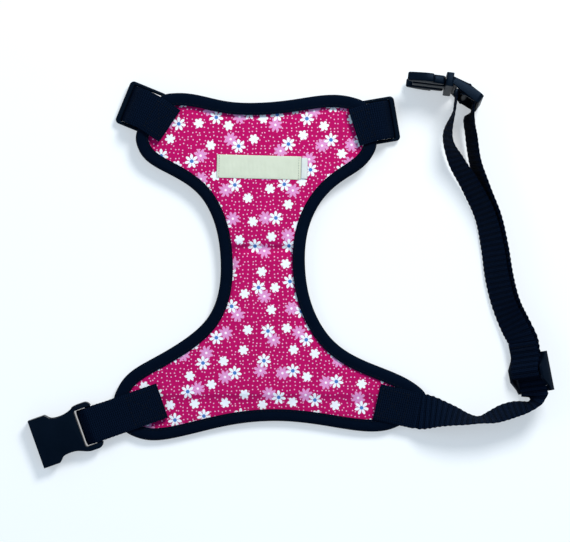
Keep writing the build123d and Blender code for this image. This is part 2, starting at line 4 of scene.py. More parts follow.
import bmesh
import bpy
import numpy as np
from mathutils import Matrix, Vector


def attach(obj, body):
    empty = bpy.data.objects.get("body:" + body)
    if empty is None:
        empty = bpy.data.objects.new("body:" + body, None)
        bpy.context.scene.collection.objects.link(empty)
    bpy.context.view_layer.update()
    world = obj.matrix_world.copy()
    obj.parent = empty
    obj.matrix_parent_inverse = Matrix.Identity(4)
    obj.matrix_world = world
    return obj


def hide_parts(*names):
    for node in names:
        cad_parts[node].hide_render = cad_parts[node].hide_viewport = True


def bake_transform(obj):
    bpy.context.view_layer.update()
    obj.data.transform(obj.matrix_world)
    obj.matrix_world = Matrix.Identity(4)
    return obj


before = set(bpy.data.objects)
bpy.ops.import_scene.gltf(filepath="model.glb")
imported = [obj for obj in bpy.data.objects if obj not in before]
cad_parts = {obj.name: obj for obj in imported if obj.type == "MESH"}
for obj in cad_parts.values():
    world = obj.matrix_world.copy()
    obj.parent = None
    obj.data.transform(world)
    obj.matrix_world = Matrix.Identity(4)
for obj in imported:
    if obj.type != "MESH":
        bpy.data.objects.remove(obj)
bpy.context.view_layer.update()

# ------------------------------------------------------------------ sizes, in millimetres
MIDDLE = np.array([0.14, 0.21, 0.0])
SLOPE = math.radians(1.9)
LIFT = 136.0 * math.tan(SLOPE)
UP = np.array([0.0, 0.0, 1.0])
WEBBING_WIDTH = 25.0
WEBBING_THICK = 1.2
BINDING_HEIGHT = 6.8
LOWER_LAYER = 7.4
UPPER_LAYER = 8.65
TAB_TOP = 9.25
NECK_SLIDER_HEIGHT = -3.55
STRAP_BASE = -6.85
RING_PLACE = (-19.0, 86.0)
RING_TURN = -2.0
SLIDER_REACH = 13.5
SLIDER_BARS_APART = 11.7
LEG_HALF_GAP = 6.0
NECK_SKEW = {"left": -12.0, "right": 8.0}
TABS = {
    "neck_tab_left": ((-80.2, 102.4), 157.7, 37.0),
    "neck_tab_right": ((43.3, 99.7), 9.7, 30.5),
    "buckle_tab": ((-87.5, -88.3), 199.4, 49.8),
    "girth_tab": ((59.4, -89.2), -13.0, 27.5),
}

# ------------------------------------------------------------------ places and directions


def unit(vector):
    return vector / np.linalg.norm(vector)


def from_panel(points):
    """Panel places (x, y, height above the binding's underside) in the frame."""
    x, y, h = np.atleast_2d(np.asarray(points, float)).T
    cos, sin = math.cos(SLOPE), math.sin(SLOPE)
    return np.stack([x, y * cos - h * sin, LIFT + y * sin + h * cos], axis=1) - MIDDLE


def panel_way(x, y, h=0.0):
    """A direction in the panel's plane, turned into the frame."""
    cos, sin = math.cos(SLOPE), math.sin(SLOPE)
    return unit(np.array([x, y * cos - h * sin, y * sin + h * cos]))


def rounded(corners, radii):
    """A line through corners with a true arc at each inner one."""
    corners = [np.array(c, float) for c in corners]
    line = [corners[0]]
    for before, corner, after, radius in zip(corners, corners[1:], corners[2:], radii):
        way_in, way_out = unit(corner - before), unit(after - corner)
        turn = math.atan2(way_in[0] * way_out[1] - way_in[1] * way_out[0], way_in @ way_out)
        reach = radius * math.tan(abs(turn) / 2)
        start = corner - way_in * reach
        aside = np.array([-way_in[1], way_in[0]]) * math.copysign(1, turn)
        for k in range(9):
            angle = abs(turn) * k / 8
            line.append(start + radius * (math.sin(angle) * way_in + (1 - math.cos(angle)) * aside))
    line.append(corners[-1])
    return np.array(line)


def evenly(rows, step, keys=3):
    """Rows respaced at an even step, measured on their first columns."""
    gaps = np.linalg.norm(np.diff(rows[:, :keys], axis=0), axis=1)
    run = np.concatenate([[0], np.cumsum(gaps)])
    count = max(int(round(run[-1] / step)), 2)
    even = np.linspace(0, run[-1], count + 1)
    return np.stack([np.interp(even, run, column) for column in rows.T], axis=1)


def eased(rows, step):
    """A smooth curve through rows of numbers, spaced by their first three columns."""
    run = np.concatenate([[0], np.cumsum(np.linalg.norm(np.diff(rows[:, :3], axis=0), axis=1))])
    slope = np.gradient(rows, run, axis=0)
    out = []
    for i in range(len(rows) - 1):
        span = run[i + 1] - run[i]
        for t in np.linspace(0, 1, max(int(span / step), 2), endpoint=False):
            h00, h10 = 2 * t**3 - 3 * t**2 + 1, t**3 - 2 * t**2 + t
            h01, h11 = -2 * t**3 + 3 * t**2, t**3 - t**2
            out.append(h00 * rows[i] + h10 * span * slope[i] + h01 * rows[i + 1] + h11 * span * slope[i + 1])
    out.append(rows[-1])
    return np.array(out)


def rolled(way, roll):
    """The across-the-webbing direction for a strap that runs one way, rolled up from flat."""
    right = unit(np.cross(way, UP))
    lifted = unit(np.cross(right, way))
    return right * math.cos(math.radians(roll)) + lifted * math.sin(math.radians(roll))


def heading(degrees):
    return np.array([math.cos(math.radians(degrees)), math.sin(math.radians(degrees)), 0.0])


# ------------------------------------------------------------------ meshes


def new_piece(name, vertices, faces, smooth=True):
    """An object from millimetre vertices, with its faces turned outwards."""
    mesh = bpy.data.meshes.new(name)
    mesh.from_pydata([tuple(v * 0.001) for v in np.asarray(vertices, float)], [], faces)
    mesh.update()
    tidy = bmesh.new()
    tidy.from_mesh(mesh)
    bmesh.ops.recalc_face_normals(tidy, faces=tidy.faces)
    tidy.to_mesh(mesh)
    tidy.free()
    if smooth:
        mesh.shade_smooth()
    piece = bpy.data.objects.new(name, mesh)
    bpy.context.scene.collection.objects.link(piece)
    return piece


def webbing_section(width, thick):
    """A webbing's cut end: flat faces that thin a little toward two round edges."""
    across = width / 2 * np.sin(np.linspace(-1, 1, 15) * math.pi / 2)
    height = thick / 2 * np.clip(1.0 - np.abs(across / (width / 2)) ** 14, 0.25, 1.0)
    top = np.stack([across, height], axis=1)
    return np.concatenate([top, top[::-1] * (1, -1)])


def woven_strap(
    name, centres, rights, width=WEBBING_WIDTH, thick=WEBBING_THICK, scallop=0.1, sway=0.12, rib=2.8
):
    """A woven strap swept along its middle line, with a map of its own run and width."""
    rows = evenly(np.concatenate([centres, rights], axis=1), 0.75)
    centres = rows[:, :3]
    ways = np.gradient(centres, axis=0)
    ways /= np.linalg.norm(ways, axis=1)[:, None]
    rights = rows[:, 3:]
    ups = np.cross(rights, ways)
    ups /= np.linalg.norm(ups, axis=1)[:, None]
    runs = np.concatenate([[0], np.cumsum(np.linalg.norm(np.diff(centres, axis=0), axis=1))])
    section = webbing_section(width, thick)
    half = width / 2
    vertices, marks = [], []
    for centre, right, up, run in zip(centres, rights, ups, runs):
        edge = scallop * math.cos(run * 2 * math.pi / rib)
        for across, height in section:
            grown = across * (1 - (scallop - edge) / half * abs(across / half) ** 6)
            wave = sway * math.sin(run / 7.3 + across / 9.0) * math.sin(run / 17.0 + 1.0)
            height *= 1 + 0.5 * edge / thick
            vertices.append(centre + right * grown + up * (height + wave))
            marks.append((run, across + 100.0))
    ring, count = len(section), len(centres)
    faces = []
    for i in range(count - 1):
        for j in range(ring):
            k = (j + 1) % ring
            faces.append((i * ring + j, i * ring + k, (i + 1) * ring + k, (i + 1) * ring + j))
    for base in (0, (count - 1) * ring):
        for j in range(ring // 2 - 1):
            faces.append((base + j, base + j + 1, base + ring - 2 - j, base + ring - 1 - j))
    strap = new_piece(name, vertices, faces)
    own_map = strap.data.uv_layers.new(name="cloth")
    for loop in strap.data.loops:
        run, across = marks[loop.vertex_index]
        own_map.data[loop.index].uv = (run * 0.001, across * 0.001)
    return strap


def across_panel_path(start, turn, path, base=0.0):
    """A path seen edge-on, laid along a heading on the panel, with its across direction."""
    cos, sin = math.cos(math.radians(turn)), math.sin(math.radians(turn))
    places = [(start[0] + a * cos, start[1] + a * sin, base + h) for a, h in path]
    right = panel_way(sin, -cos)
    return from_panel(places), np.tile(right, (len(places), 1))


def skewed(start, turn, bar, skew, run, aside=0.0):
    """A place on a tab that is sewn down a little askew of the bar it loops round, and its across way."""
    steps = np.linspace(min(run, bar), bar, 25)
    angles = np.radians(turn + skew * np.clip((1 - steps / bar) * 2, 0, 1))
    gap = (bar - steps[0]) / 24
    back = np.array([np.sum(np.cos(angles[:-1])), np.sum(np.sin(angles[:-1]))]) * gap
    straight = np.array([math.cos(math.radians(turn)), math.sin(math.radians(turn))])
    across = np.array([math.sin(angles[0]), -math.cos(angles[0])])
    return np.array(start) + straight * max(run, bar) - back + across * aside, across


def skewed_tab_path(start, turn, bar, skew, path):
    """A tab's path seen edge-on, with the sewn end turned from the line of its bar."""
    path = evenly(np.array(path), 0.8, keys=2)
    laid = [skewed(start, turn, bar, skew, run) for run, _ in path]
    places = [(*place, height) for (place, _), (_, height) in zip(laid, path)]
    return from_panel(places), np.array([panel_way(*across) for _, across in laid])


# ------------------------------------------------------------------ the panel's outline


def outline_of(node):
    """The outer edge of a panel layer's underside: even points in panel millimetres."""
    look = bmesh.new()
    look.from_mesh(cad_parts[node].data)
    bmesh.ops.remove_doubles(look, verts=look.verts, dist=1e-6)
    down = Vector((0, math.sin(SLOPE), -math.cos(SLOPE)))
    rims = {}
    for edge in look.edges:
        if len(edge.link_faces) != 2:
            continue
        flat = [face.normal.dot(down) > 0.99 for face in edge.link_faces]
        low = min(v.co.dot(down) for v in edge.verts)
        if flat[0] != flat[1] and low > max(v.co.dot(down) for v in look.verts) - 1e-5:
            for v in edge.verts:
                rims.setdefault(v, []).append(edge.other_vert(v))
    loops = []
    while rims:
        start = next(iter(rims))
        loop, here = [start], start
        while True:
            onward = [v for v in rims.pop(here, []) if v in rims]
            if not onward:
                break
            here = onward[0]
            loop.append(here)
        loops.append([v.co.copy() * 1000 for v in loop])
    look.free()
    longest = max(loops, key=lambda loop: sum((a - b).length for a, b in zip(loop, loop[1:])))
    points = np.array([tuple(p) for p in longest]) + MIDDLE
    flat = np.stack([points[:, 0], points[:, 1] / math.cos(SLOPE)], axis=1)
    area = 0.5 * np.sum(flat[:, 0] * np.roll(flat[:, 1], -1) - np.roll(flat[:, 0], -1) * flat[:, 1])
    if area > 0:
        flat = flat[::-1]
    flat = evenly(np.concatenate([flat, flat[:1]]), 1.5, keys=2)[:-1]
    for _ in range(4):
        flat = 0.25 * np.roll(flat, 1, axis=0) + 0.5 * flat + 0.25 * np.roll(flat, -1, axis=0)
    return flat


outline = outline_of("edge_binding")
outline_way = np.roll(outline, -1, axis=0) - np.roll(outline, 1, axis=0)
outline_way /= np.linalg.norm(outline_way, axis=1)[:, None]
inward = np.stack([outline_way[:, 1], -outline_way[:, 0]], axis=1)
for _ in range(6):
    inward = np.roll(inward, 1, axis=0) + 2 * inward + np.roll(inward, -1, axis=0)
    inward /= np.linalg.norm(inward, axis=1)[:, None]


def inner_line(depth):
    """The outline drawn in by a depth, eased where it bunches at a corner."""
    line = outline + inward * depth
    for _ in range(int(depth * 2)):
        line = 0.25 * np.roll(line, 1, axis=0) + 0.5 * line + 0.25 * np.roll(line, -1, axis=0)
    return line


def make_binding():
    """The tape folded over the panel's edge, drawn tight, with small puckers on its bends."""
    fold = [
        (8.4, 6.15), (8.5, 6.55), (7.9, 6.72), (6.9, 6.45), (6.1, 6.68), (4.6, BINDING_HEIGHT), (3.0, 6.74),
        (1.7, 6.3), (0.7, 5.4), (0.1, 4.3), (0.0, 3.2), (0.25, 2.1), (0.9, 1.0), (1.9, 0.3), (3.3, 0.02),
        (5.0, 0.0), (6.1, 0.1), (6.9, 0.35), (7.9, 0.08), (8.5, 0.25), (8.4, 0.7),
    ]
    inside = [(5.0, 0.95), (2.2, 1.2), (1.1, 3.3), (2.2, 5.5), (5.0, 5.85)]
    lines = {d: inner_line(d) for d, _ in fold + inside}
    run = np.arange(len(outline)) * 1.5
    bend = np.cross(np.roll(outline_way, 3, axis=0), np.roll(outline_way, -3, axis=0))
    for _ in range(8):
        bend = (np.roll(bend, 1) + 2 * bend + np.roll(bend, -1)) / 4
    pucker = 0.10 + np.clip(np.abs(bend) * 2.0, 0, 0.22)
    ripple = np.sin(run / 1.31 + 2 * np.sin(run / 23)) * 0.6 + np.sin(run / 2.9) * 0.4
    vertices, marks = [], []
    section = fold + inside
    lengths = np.concatenate([[0], np.cumsum([math.dist(a, b) for a, b in zip(section, section[1:])])])
    for i in range(len(outline)):
        for j, (depth, height) in enumerate(section):
            x, y = lines[depth][i]
            give = pucker[i] * ripple[i] * (0.5 if 1.5 < depth < 6.5 else 0.15) if j < len(fold) else 0
            lift = min(give, 0.0) * 2.0 if height > 3 else max(give, 0.0) * 2.0
            vertices.append((x, y, height + lift))
            marks.append((run[i], lengths[j]))
    vertices = from_panel(vertices)
    ring, count = len(section), len(outline)
    faces = []
    for i in range(count):
        for j in range(ring):
            n, k = (i + 1) % count, (j + 1) % ring
            faces.append((i * ring + j, i * ring + k, n * ring + k, n * ring + j))
    binding = new_piece("folded_edge_binding", vertices, faces)
    own_map = binding.data.uv_layers.new(name="cloth")
    for loop in binding.data.loops:
        length, across = marks[loop.vertex_index]
        own_map.data[loop.index].uv = (length * 0.001, across * 0.001)
    return binding


def applied(piece):
    """The piece's evaluated mesh kept as its own, and its modifiers removed."""
    graph = bpy.context.evaluated_depsgraph_get()
    graph.update()
    baked = bpy.data.meshes.new_from_object(piece.evaluated_get(graph))
    old = piece.data
    piece.modifiers.clear()
    piece.data = baked
    bpy.data.meshes.remove(old)
    return piece


def make_pad():
    """The padded panel: its padding remeshed, blown up a little as cloth, then smoothed."""
    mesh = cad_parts["foam_padding"].data.copy()
    mesh.materials.clear()
    pad = bpy.data.objects.new("padded_panel", mesh)
    bpy.context.scene.collection.objects.link(pad)
    merge = bmesh.new()
    merge.from_mesh(mesh)
    bmesh.ops.remove_doubles(merge, verts=merge.verts, dist=1e-6)
    bmesh.ops.recalc_face_normals(merge, faces=merge.faces)
    merge.to_mesh(mesh)
    merge.free()
    remesh = pad.modifiers.new("even_mesh", "REMESH")
    remesh.mode = "VOXEL"
    remesh.voxel_size = 0.0034
    applied(pad)
    rest = np.array([v.co for v in pad.data.vertices])
    cloth = pad.modifiers.new("blown_up", "CLOTH")
    cloth.settings.quality = 5
    cloth.settings.mass = 0.15
    cloth.settings.use_pressure = True
    cloth.settings.uniform_pressure_force = 4.0
    cloth.settings.tension_stiffness = 12
    cloth.settings.compression_stiffness = 12
    cloth.settings.effector_weights.gravity = 0
    cloth.point_cache.frame_start = 1
    cloth.point_cache.frame_end = 24
    for step in range(1, 21):
        bpy.context.scene.frame_set(step)
    applied(pad)
    bpy.context.scene.frame_set(1)
    moved = np.array([v.co for v in pad.data.vertices])
    shift = moved - rest
    far = np.linalg.norm(shift, axis=1)
    shift *= (np.minimum(far, 0.0009) / np.maximum(far, 1e-9))[:, None]
    for vertex, place in zip(pad.data.vertices, rest + shift):
        vertex.co = place
    finer = pad.modifiers.new("finer", "SUBSURF")
    finer.levels = finer.render_levels = 1
    applied(pad)
    smooth_noise(pad.data)
    pad.data.shade_smooth()
    return pad


def smooth_noise(mesh):
    """Soft dimples in the padded panel's top, where the cloth lies loose."""
    place = np.array([v.co for v in mesh.vertices]) * 1000
    wave = np.sin(place[:, 0] / 11.0 + 1.3 * np.sin(place[:, 1] / 17.0)) * np.sin(place[:, 1] / 13.0 + 0.7)
    finer = np.sin(place[:, 0] / 5.1 + place[:, 1] / 6.3) * np.sin(place[:, 1] / 8.7 - place[:, 0] / 9.9)
    wave += 0.5 * finer
    normals = np.array([v.normal for v in mesh.vertices])
    for vertex, amount, normal in zip(mesh.vertices, wave, normals):
        if normal[2] > 0.5:
            vertex.co.z += -0.00012 * (1 + amount)


# ------------------------------------------------------------------ stitches


def stitch_tree():
    """Geometry nodes that sew thread stitches along a piece's edges."""
    tree = bpy.data.node_groups.new("sewn_stitches", "GeometryNodeTree")
    face = tree.interface
    face.new_socket("Rows", in_out="INPUT", socket_type="NodeSocketGeometry")
    for label, size in (("Pitch", 0.0028), ("Stitch", 0.0021), ("Thread", 0.00028)):
        socket = face.new_socket(label, in_out="INPUT", socket_type="NodeSocketFloat")
        socket.default_value = size
    face.new_socket("Material", in_out="INPUT", socket_type="NodeSocketMaterial")
    face.new_socket("Stitches", in_out="OUTPUT", socket_type="NodeSocketGeometry")
    given = tree.nodes.new("NodeGroupInput")
    made = tree.nodes.new("NodeGroupOutput")
    curve = tree.nodes.new("GeometryNodeMeshToCurve")
    even = tree.nodes.new("GeometryNodeResampleCurve")
    even.mode = "LENGTH"
    bead = tree.nodes.new("GeometryNodeMeshUVSphere")
    bead.inputs["Segments"].default_value = 6
    bead.inputs["Rings"].default_value = 5
    bead.inputs["Radius"].default_value = 1.0
    size = tree.nodes.new("ShaderNodeCombineXYZ")
    half = tree.nodes.new("ShaderNodeMath")
    half.operation = "MULTIPLY"
    half.inputs[1].default_value = 0.5
    along = tree.nodes.new("GeometryNodeInputTangent")
    turn = tree.nodes.new("FunctionNodeAlignRotationToVector")
    turn.axis = "X"
    copies = tree.nodes.new("GeometryNodeInstanceOnPoints")
    real = tree.nodes.new("GeometryNodeRealizeInstances")
    paint = tree.nodes.new("GeometryNodeSetMaterial")
    link = tree.links.new
    link(given.outputs["Rows"], curve.inputs["Mesh"])
    link(curve.outputs["Curve"], even.inputs["Curve"])
    link(given.outputs["Pitch"], even.inputs["Length"])
    link(given.outputs["Stitch"], half.inputs[0])
    link(half.outputs[0], size.inputs["X"])
    link(given.outputs["Thread"], size.inputs["Y"])
    link(given.outputs["Thread"], size.inputs["Z"])
    link(even.outputs["Curve"], copies.inputs["Points"])
    link(bead.outputs["Mesh"], copies.inputs["Instance"])
    link(along.outputs["Tangent"], turn.inputs["Vector"])
    link(turn.outputs["Rotation"], copies.inputs["Rotation"])
    link(size.outputs["Vector"], copies.inputs["Scale"])
    link(copies.outputs["Instances"], real.inputs["Geometry"])
    link(real.outputs["Geometry"], paint.inputs["Geometry"])
    link(given.outputs["Material"], paint.inputs["Material"])
    link(paint.outputs["Geometry"], made.inputs["Stitches"])
    return tree


def sewn(name, rows, material, **sizes):
    """Stitches along rows of places in the frame, as one plain mesh."""
    vertices, edges = [], []
    for row in rows:
        first = len(vertices)
        vertices.extend(tuple(p * 0.001) for p in row)
        edges.extend((first + i, first + i + 1) for i in range(len(row) - 1))
    mesh = bpy.data.meshes.new(name)
    mesh.from_pydata(vertices, edges, [])
    piece = bpy.data.objects.new(name, mesh)
    bpy.context.scene.collection.objects.link(piece)
    sewing = piece.modifiers.new("sewing", "NODES")
    sewing.node_group = stitches_tree
    for socket in stitches_tree.interface.items_tree:
        if socket.in_out == "INPUT" and socket.name in sizes:
            sewing[socket.identifier] = sizes[socket.name]
        if socket.in_out == "INPUT" and socket.name == "Material":
            sewing[socket.identifier] = material
    applied(piece)
    piece.data.shade_smooth()
    return piece


def box_rows(start, turn, bar, skew, near, far, height, half=9.5):
    """A sewn box with a cross in it, on a tab."""
    corners = [(near, -half), (far, -half), (far, half), (near, half), (near, -half)]

    def row(path):
        path = evenly(np.array(path, float), 2.0, keys=2)
        return from_panel([(*skewed(start, turn, bar, skew, run, aside)[0], height) for run, aside in path])

    return [row(corners), row([corners[0], corners[2]]), row([corners[1], corners[3]])]


# ------------------------------------------------------------------ materials


class Wire:
    """A node's output that takes part in sums, products and comparisons."""

    def __init__(self, shader, socket):
        self.shader, self.socket = shader, socket

    def _sum(self, operation, left, right):
        return self.shader.add("ShaderNodeMath", {"operation": operation}, {0: left, 1: right})

    def __add__(self, other):
        return self._sum("ADD", self, other)

    __radd__ = __add__

    def __sub__(self, other):
        return self._sum("SUBTRACT", self, other)

    def __rsub__(self, other):
        return self._sum("SUBTRACT", other, self)

    def __mul__(self, other):
        return self._sum("MULTIPLY", self, other)

    __rmul__ = __mul__

    def __truediv__(self, other):
        return self._sum("DIVIDE", self, other)

    def __lt__(self, other):
        return self._sum("LESS_THAN", self, other)


class Finish:
    """A material under construction."""

    def __init__(self, name, color, roughness, **settings):
        self.material = bpy.data.materials.new(name)
        self.material.use_nodes = True
        self.nodes = self.material.node_tree.nodes
        self.links = self.material.node_tree.links
        self.surface = self.nodes["Principled BSDF"]
        self.surface.inputs["Base Color"].default_value = (*color, 1)
        self.surface.inputs["Roughness"].default_value = roughness
        for label, value in settings.items():
            self.surface.inputs[label.replace("_", " ")].default_value = value

    def add(self, kind, settings=None, inputs=None, output=0):
        """One node: its settings first, then the values or links of its sockets."""
        node = self.nodes.new(kind)
        for label, value in (settings or {}).items():
            setattr(node, label, value)
        for label, value in (inputs or {}).items():
            if isinstance(value, Wire):
                self.links.new(value.socket, node.inputs[label])
            elif value is not None:
                node.inputs[label].default_value = value
        return Wire(self, node.outputs[output])

    def feed(self, label, wire):
        self.links.new(wire.socket, self.surface.inputs[label])

    def sum(self, operation, *values):
        return self.add("ShaderNodeMath", {"operation": operation}, dict(enumerate(values)))

    def sine(self, value):
        return self.sum("SINE", value)

    def vector(self, operation, first, second=None, output=0):
        return self.add("ShaderNodeVectorMath", {"operation": operation}, {0: first, 1: second}, output)

    def parts(self, vector):
        node = self.add("ShaderNodeSeparateXYZ", None, {0: vector}).socket.node
        return [Wire(self, node.outputs[i]) for i in range(3)]

    def object_place(self):
        return self.add("ShaderNodeTexCoord", output="Object")

    def own_map(self):
        return self.add("ShaderNodeUVMap", {"uv_map": "cloth"})

    def noise(self, place, scale, detail=3.0, output="Fac"):
        inputs = {"Vector": place, "Scale": scale, "Detail": detail}
        return self.add("ShaderNodeTexNoise", None, inputs, output)

    def blend(self, factor, first, second):
        """A colour between two, by a factor."""
        node = self.nodes.new("ShaderNodeMix")
        node.data_type = "RGBA"
        for index, value in ((0, factor), (6, first), (7, second)):
            if isinstance(value, Wire):
                self.links.new(value.socket, node.inputs[index])
            else:
                node.inputs[index].default_value = value if index == 0 else (*value, 1)
        return Wire(self, node.outputs[2])

    def between(self, factor, low, high):
        return self.add("ShaderNodeMapRange", None, {"Value": factor, "To Min": low, "To Max": high})

    def step(self, value, edge, softness):
        """1 where a value is under an edge, 0 over it, with a soft change between."""
        inputs = {"Value": value, "From Min": edge - softness, "From Max": edge + softness}
        inputs |= {"To Min": 1.0, "To Max": 0.0}
        return self.add("ShaderNodeMapRange", None, inputs)

    def relief(self, height, depth, strength=1.0):
        bump = self.add("ShaderNodeBump", None, {"Height": height, "Distance": depth, "Strength": strength})
        self.feed("Normal", bump)


def shade(red, green, blue):
    """A colour from screen values out of 255, as the linear numbers that shaders take."""
    def linear(value):
        value /= 255
        return value / 12.92 if value <= 0.04045 else ((value + 0.055) / 1.055) ** 2.4

    return linear(red), linear(green), linear(blue)


BLUE_SHINE = (0.35, 0.6, 1.0, 1)
PRINT_SEED = 11
PRINT_THROWS = 5000
PRINT_MARGIN = 4.0
DAISY_GAP = 19.0
LILAC_GAP = 12.5
LILAC_REACH = 7.2
STAR_GAP = 14.0
FLOWER_ROOM = 9.4


def has_room(place, *neighbours):
    """Whether a place is further than each gap from every flower of its group."""
    return all(math.dist(place, other) > gap for group, gap in neighbours for other in group)


def scattered_flowers():
    """Daisies, their lilac companions and white stars, thrown on the panel where each has room."""
    chance = random.Random(PRINT_SEED)
    low, high = outline.min(axis=0), outline.max(axis=0)
    daisies, lilacs, stars = [], [], []

    def throw():
        """A place on the panel and one beside it, or nothing where the throw misses the panel."""
        place = np.array([chance.uniform(a, b) for a, b in zip(low, high)])
        turn = chance.uniform(0, 2 * math.pi)
        edge = np.argmin(np.linalg.norm(outline - place, axis=1))
        if (place - outline[edge]) @ inward[edge] < PRINT_MARGIN:
            return None
        beside = place + LILAC_REACH * np.array([math.cos(turn), math.sin(turn)])
        return tuple(map(float, place)), tuple(map(float, beside))

    for daisy, lilac in filter(None, (throw() for _ in range(PRINT_THROWS))):
        if has_room(daisy, (daisies, DAISY_GAP), (lilacs, FLOWER_ROOM)) and has_room(
            lilac, (daisies, FLOWER_ROOM), (lilacs, LILAC_GAP)
        ):
            daisies.append(daisy)
            lilacs.append(lilac)
    for star, _ in filter(None, (throw() for _ in range(PRINT_THROWS))):
        if has_room(star, (daisies, FLOWER_ROOM), (lilacs, FLOWER_ROOM - 1.0), (stars, STAR_GAP)):
            stars.append(star)
    return daisies, lilacs, stars


def printed_cloth():
    """Pink cotton with a scattered print of daisies, lilac flowers, white stars and dots."""
    cloth = Finish(
        "printed_cotton", shade(196, 8, 98), 0.85,
        Sheen_Weight=0.04, Sheen_Roughness=0.45, Specular_IOR_Level=0.12,
    )
    x, y, _ = cloth.parts(cloth.object_place())
    x, y = x * 1000 + float(MIDDLE[0]), y * 1000 + float(MIDDLE[1])
    place = cloth.add("ShaderNodeCombineXYZ", None, {"X": x, "Y": y})
    uneven = cloth.noise(cloth.object_place(), 60.0)
    ground = cloth.blend(cloth.between(uneven, 0.1, 0.9), shade(172, 3, 84), shade(194, 5, 99))

    daisies, lilacs, stars = scattered_flowers()

    def nearest(centres):
        offset, away = None, None
        for centre in centres:
            here = cloth.vector("SUBTRACT", place, (*centre, 0))
            far = cloth.vector("LENGTH", here, None, "Value")
            if offset is None:
                offset, away = here, far
                continue
            nearer = far < away
            mixed = cloth.nodes.new("ShaderNodeMix")
            mixed.data_type = "VECTOR"
            for index, wire in ((0, nearer), (4, offset), (5, here)):
                cloth.links.new(wire.socket, mixed.inputs[index])
            offset, away = Wire(cloth, mixed.outputs[1]), cloth.sum("MINIMUM", away, far)
        return offset, away

    def petals(offset, away, count, middle, reach, breadth, turn):
        """How far outside a ring of petals a place is: under 1 is in a petal."""
        across, up, _ = cloth.parts(offset)
        angle = cloth.sum("ARCTAN2", up, across) + turn
        wedge = cloth.sum("FRACT", angle * (count / (2 * math.pi)) + 8.5) - 0.5
        angle = wedge * (2 * math.pi / count)
        out = (away * cloth.sum("COSINE", angle) - middle) / reach
        side = away * cloth.sum("SINE", angle) / breadth
        return out * out + side * side

    def over(ground, mask, color):
        return cloth.blend(mask, ground, color)

    flat = {"voronoi_dimensions": "2D"}
    net = {"Vector": place, "Scale": 0.34, "Randomness": 0.6}
    dots = cloth.add("ShaderNodeTexVoronoi", flat, net, "Distance")
    lilac, pale_eye = shade(222, 146, 198), shade(250, 236, 246)
    star_white, daisy_white, blue_eye = shade(240, 240, 246), shade(240, 242, 248), shade(74, 118, 186)
    ground = over(ground, cloth.step(dots, 0.145, 0.04), shade(240, 178, 214))
    offset, away = nearest(lilacs)
    ring = petals(offset, away, 8, 3.0, 1.9, 0.98, 0.4)
    ground = over(ground, cloth.step(ring, 1.0, 0.16), lilac)
    ground = over(ground, cloth.step(away, 1.9, 0.12), lilac)
    ground = over(ground, cloth.step(away, 0.85, 0.12), pale_eye)
    offset, away = nearest(stars)
    ring = petals(offset, away, 6, 2.05, 1.5, 1.05, 0.9)
    ground = over(ground, cloth.step(ring, 1.0, 0.16), star_white)
    ground = over(ground, cloth.step(away, 1.85, 0.12), star_white)
    offset, away = nearest(daisies)
    ring = petals(offset, away, 7, 3.1, 1.75, 1.0, 0.2)
    ground = over(ground, cloth.step(ring, 1.0, 0.14), daisy_white)
    ground = over(ground, cloth.step(away, 1.7, 0.12), daisy_white)
    ground = over(ground, cloth.step(away, 1.3, 0.12), blue_eye)
    cloth.feed("Base Color", ground)
    threads = cloth.sine(x * 14.0) * cloth.sine(y * 14.0)
    rumple = cloth.noise(cloth.object_place(), 230.0, 4.0)
    cloth.relief(threads * 0.25 + rumple, 0.00035, 0.5)
    return cloth.material


def strap_cloth(name, color, light, rib, line, banding):
    """Woven strap: cross ribs with a zigzag, drawn by its own run and width, with a painted highlight on the
    rib crests and painted shade in the grooves.
    """
    cloth = Finish(name, color, 0.9, Specular_IOR_Level=0.03, Specular_Tint=BLUE_SHINE)
    run, across, _ = cloth.parts(cloth.own_map())
    zigzag = cloth.sum("PINGPONG", across * 1000, line) * (1.2 / line)
    ribs = cloth.sine(run * (2000 * math.pi / rib) + zigzag * 1.6)
    cords = cloth.sine(across * (2000 * math.pi / line))
    fluff = cloth.noise(cloth.object_place(), 900.0, 4.0)
    bands = cloth.sine(run * (2000 * math.pi / 3.7))
    weave_and_highlight = ribs * 0.6 + cords * 0.25 + bands * banding + 0.5
    tone = cloth.sum("MULTIPLY", weave_and_highlight, 0.55) + fluff * 0.5
    # Colour follows the rib heights of the bump: partly the strap's own woven pattern, partly painted
    # highlight on the crests and painted shade in the grooves.
    cloth.feed("Base Color", cloth.blend(cloth.between(tone, 0.0, 1.0), color, light))
    cloth.feed("Roughness", cloth.between(fluff, 0.8, 1.0))
    cloth.relief(weave_and_highlight + fluff * 0.35, 0.00025, 0.9)
    return cloth.material


def binding_cloth():
    """Folded tape with a fine twill and a little lint."""
    cloth = Finish("binding_tape", shade(2, 8, 18), 0.92, Specular_IOR_Level=0.04, Specular_Tint=BLUE_SHINE)
    run, across, _ = cloth.parts(cloth.own_map())
    twill = cloth.sine((run + across) * (2000 * math.pi / 0.9))
    lint = cloth.noise(cloth.object_place(), 1400.0, 5.0)
    broad = cloth.noise(cloth.object_place(), 45.0)
    tone = twill * 0.12 + lint * 0.5 + broad * 0.4
    cloth.feed("Base Color", cloth.blend(cloth.between(tone, 0.0, 1.0), shade(1, 7, 17), shade(6, 16, 34)))
    cloth.relief(twill * 0.3 + lint + broad * 2.0, 0.0003, 0.55)
    return cloth.material


def lining_cloth():
    """Spacer mesh with small round openings, painted near black inside as their shade."""
    cloth = Finish("spacer_mesh", shade(16, 19, 26), 0.9, Sheen_Weight=0.15)
    x, y, _ = cloth.parts(cloth.object_place())
    rows = cloth.sine(x * 2400) * cloth.sine(y * 2400)
    shaded_holes = cloth.step(rows, -0.35, 0.2)
    # Painted shade: the recessed openings are coloured near black.
    cloth.feed("Base Color", cloth.blend(shaded_holes, shade(34, 39, 50), shade(5, 6, 9)))
    cloth.relief(shaded_holes * -1.0 + cloth.noise(cloth.object_place(), 800.0) * 0.3, 0.0005, 0.8)
    return cloth.material


